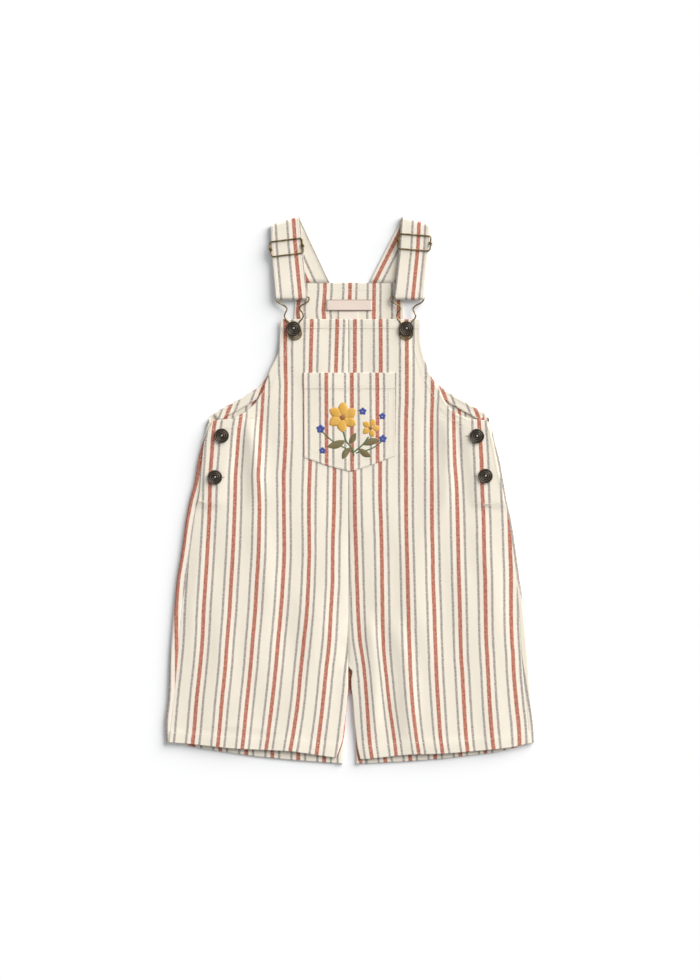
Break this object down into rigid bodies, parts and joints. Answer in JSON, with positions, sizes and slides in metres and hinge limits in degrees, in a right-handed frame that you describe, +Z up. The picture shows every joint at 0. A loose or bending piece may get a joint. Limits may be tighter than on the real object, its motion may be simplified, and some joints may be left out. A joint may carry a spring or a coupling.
{
  "type": "kids bib overalls",
  "caption": "Child's short-legged bib overalls in striped cotton canvas, laid flat: pocketed bib, buttoned side openings, and folded straps with wire sliders and clips.",
  "frame": {"origin": "on the surface that the garment lies on, at the middle of its width and length", "axes": "+Y up the garment from hems to straps, +X to the right as the front is seen, +Z up off the surface"},
  "size_m": [0.3764, 0.5575, 0.0089],
  "materials": {
    "canvas": "matt cotton canvas, cream with woven red and grey stripes",
    "wire": "antique brass wire, satin",
    "buttons": "dark antique bronze, satin",
    "labels": "woven ribbon, blank"
  },
  "bodies": {
    "root": {"front_left": "canvas", "front_right": "canvas", "back_left": "canvas", "back_right": "canvas", "back_facing_left": "canvas", "back_facing_right": "canvas", "chest_pocket": "canvas", "strap_left": "canvas", "strap_right": "canvas", "slider_left": "wire", "slider_right": "wire", "clip_left": "wire", "clip_right": "wire", "bib_button_left": "buttons", "bib_button_right": "buttons", "side_button_left_top": "buttons", "side_button_left_low": "buttons", "side_button_right_top": "buttons", "side_button_right_low": "buttons", "neck_label": "labels", "care_label": "labels"}
  },
  "joints": []
}
